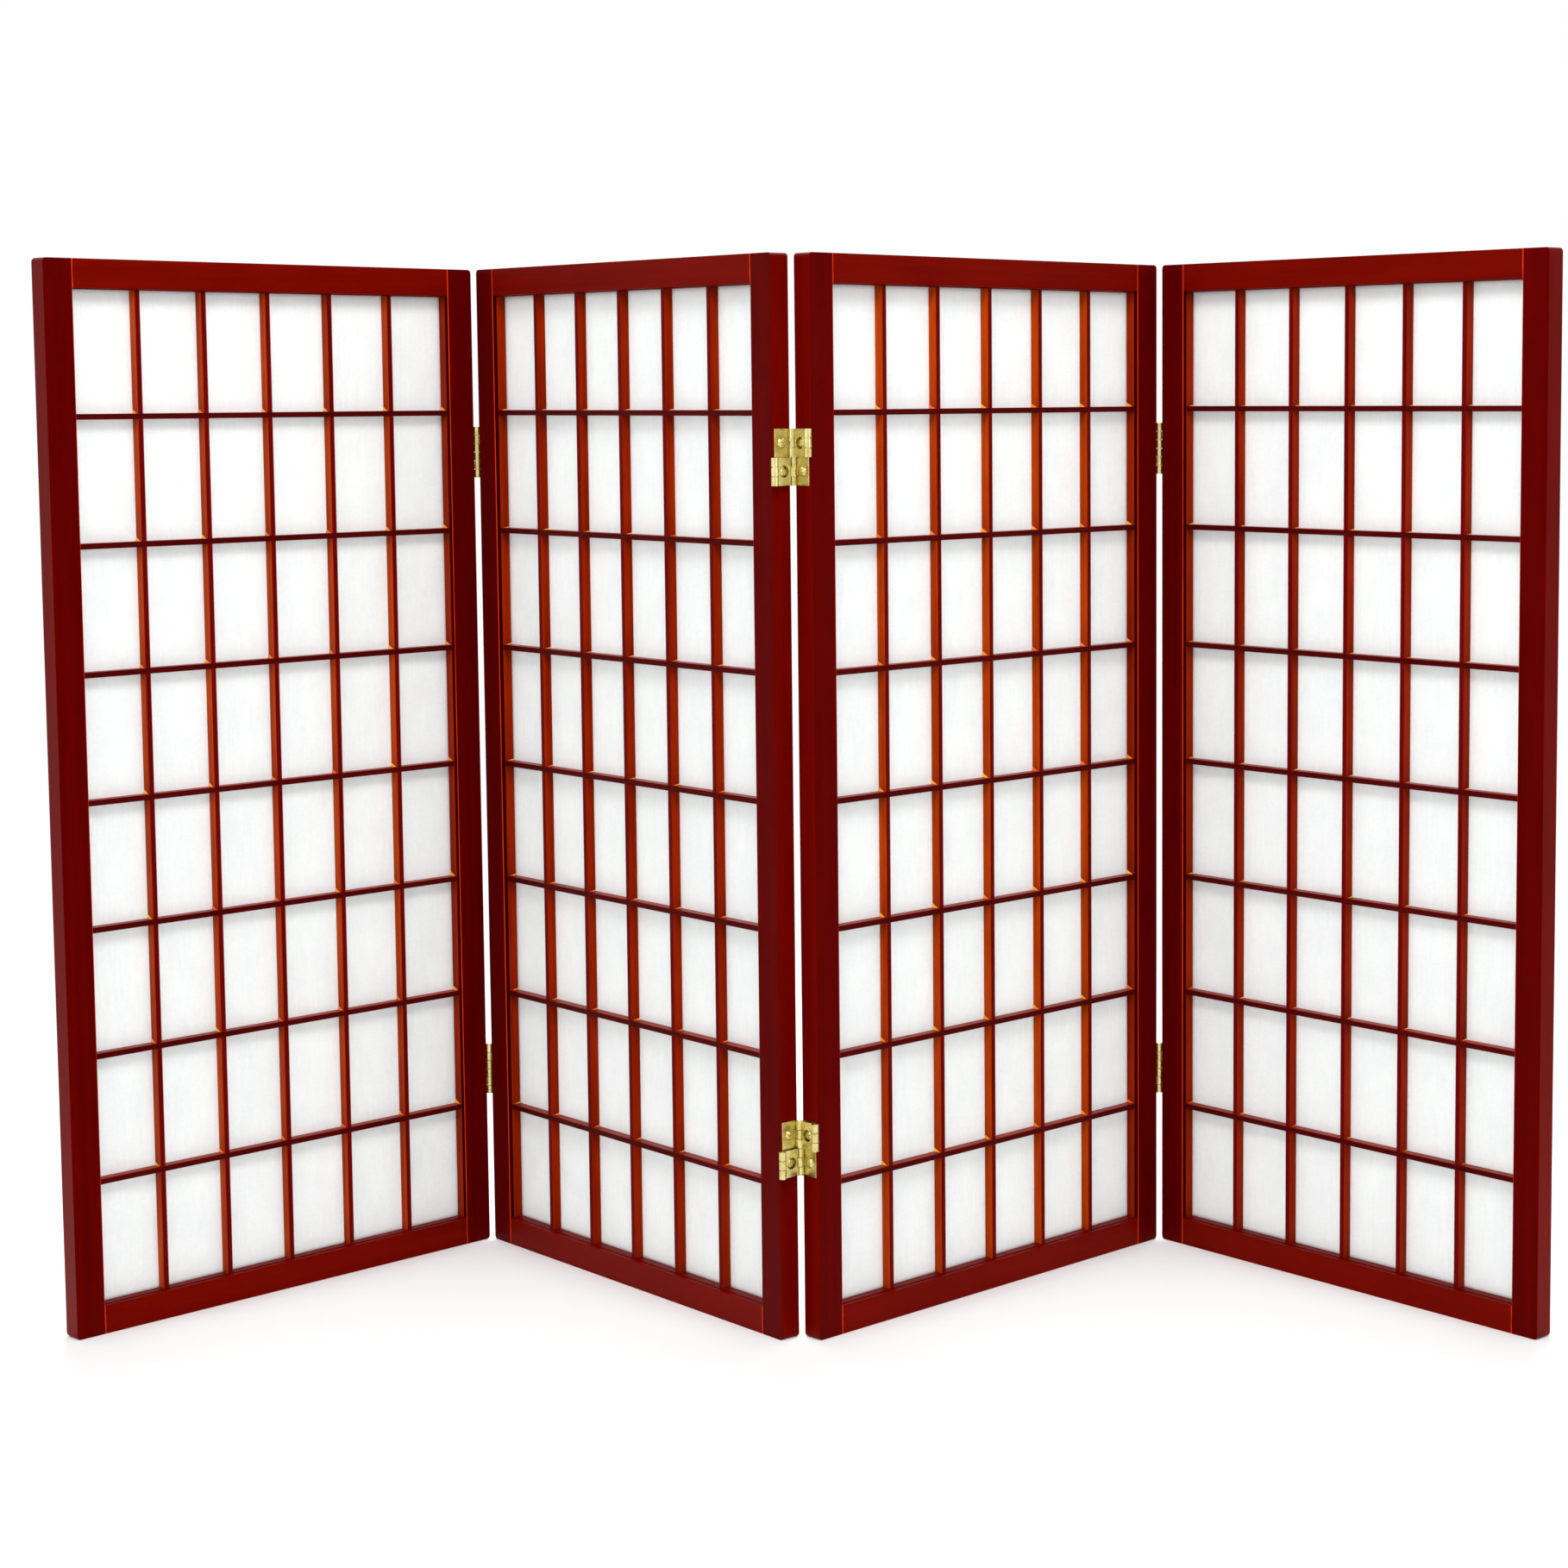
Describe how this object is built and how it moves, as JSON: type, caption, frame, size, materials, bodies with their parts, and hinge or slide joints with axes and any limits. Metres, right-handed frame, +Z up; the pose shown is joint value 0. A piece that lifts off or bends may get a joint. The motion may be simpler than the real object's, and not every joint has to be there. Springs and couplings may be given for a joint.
{
  "type": "shoji folding screen",
  "caption": "Free-standing folding screen of framed paper panels with a half-lapped wooden lattice, joined by crossed-link hinges that let it zigzag or fold flat.",
  "frame": {"origin": "middle of the screen's overall box, on the floor", "axes": "+X along the zigzag from the first panel to the last, -Y towards the lattice side, +Z up"},
  "size_m": [1.2638, 0.3364, 0.9144],
  "materials": {
    "frame_lacquer": "satin lacquer",
    "lattice_lacquer": "satin lacquer",
    "paper": "matt rice paper",
    "brass": "bright, lightly polished"
  },
  "bodies": {
    "panel_1": {"panel_1_left_stile": "frame_lacquer", "panel_1_right_stile": "frame_lacquer", "panel_1_top_rail": "frame_lacquer", "panel_1_bottom_rail": "frame_lacquer", "panel_1_lattice_uprights": "lattice_lacquer", "panel_1_lattice_crossbars": "lattice_lacquer", "panel_1_lattice_edging": "lattice_lacquer", "panel_1_paper": "paper", "hinge_12_left_plates": "brass", "hinge_12_left_screws": "brass", "hinge_12_upper_links": "brass", "hinge_12_upper_pins": "brass"},
    "panel_2": {"panel_2_left_stile": "frame_lacquer", "panel_2_right_stile": "frame_lacquer", "panel_2_top_rail": "frame_lacquer", "panel_2_bottom_rail": "frame_lacquer", "panel_2_lattice_uprights": "lattice_lacquer", "panel_2_lattice_crossbars": "lattice_lacquer", "panel_2_lattice_edging": "lattice_lacquer", "panel_2_paper": "paper", "hinge_12_right_plates": "brass", "hinge_12_right_screws": "brass", "hinge_12_lower_links": "brass", "hinge_12_lower_pins": "brass", "hinge_23_left_plates": "brass", "hinge_23_left_screws": "brass", "hinge_23_lower_links": "brass", "hinge_23_lower_pins": "brass"},
    "panel_3": {"panel_3_left_stile": "frame_lacquer", "panel_3_right_stile": "frame_lacquer", "panel_3_top_rail": "frame_lacquer", "panel_3_bottom_rail": "frame_lacquer", "panel_3_lattice_uprights": "lattice_lacquer", "panel_3_lattice_crossbars": "lattice_lacquer", "panel_3_lattice_edging": "lattice_lacquer", "panel_3_paper": "paper", "hinge_23_right_plates": "brass", "hinge_23_right_screws": "brass", "hinge_23_upper_links": "brass", "hinge_23_upper_pins": "brass", "hinge_34_left_plates": "brass", "hinge_34_left_screws": "brass", "hinge_34_upper_links": "brass", "hinge_34_upper_pins": "brass"},
    "panel_4": {"panel_4_left_stile": "frame_lacquer", "panel_4_right_stile": "frame_lacquer", "panel_4_top_rail": "frame_lacquer", "panel_4_bottom_rail": "frame_lacquer", "panel_4_lattice_uprights": "lattice_lacquer", "panel_4_lattice_crossbars": "lattice_lacquer", "panel_4_lattice_edging": "lattice_lacquer", "panel_4_paper": "paper", "hinge_34_right_plates": "brass", "hinge_34_right_screws": "brass", "hinge_34_lower_links": "brass", "hinge_34_lower_pins": "brass"}
  },
  "joints": [
    {"name": "fold_12", "type": "hinge", "parent": "panel_2", "child": "panel_1", "pos_m": [-0.31912, 0.15192, 0.7464], "axis": [0, 0, 1], "range_deg": [-92.9, 85.1]},
    {"name": "fold_23", "type": "hinge", "parent": "panel_2", "child": "panel_3", "pos_m": [-0.00236, -0.15205, 0.7464], "axis": [0, 0, 1], "range_deg": [-92.6, 85.4]},
    {"name": "fold_34", "type": "hinge", "parent": "panel_3", "child": "panel_4", "pos_m": [0.3144, 0.15192, 0.7464], "axis": [0, 0, 1], "range_deg": [-86, 92]}
  ]
}
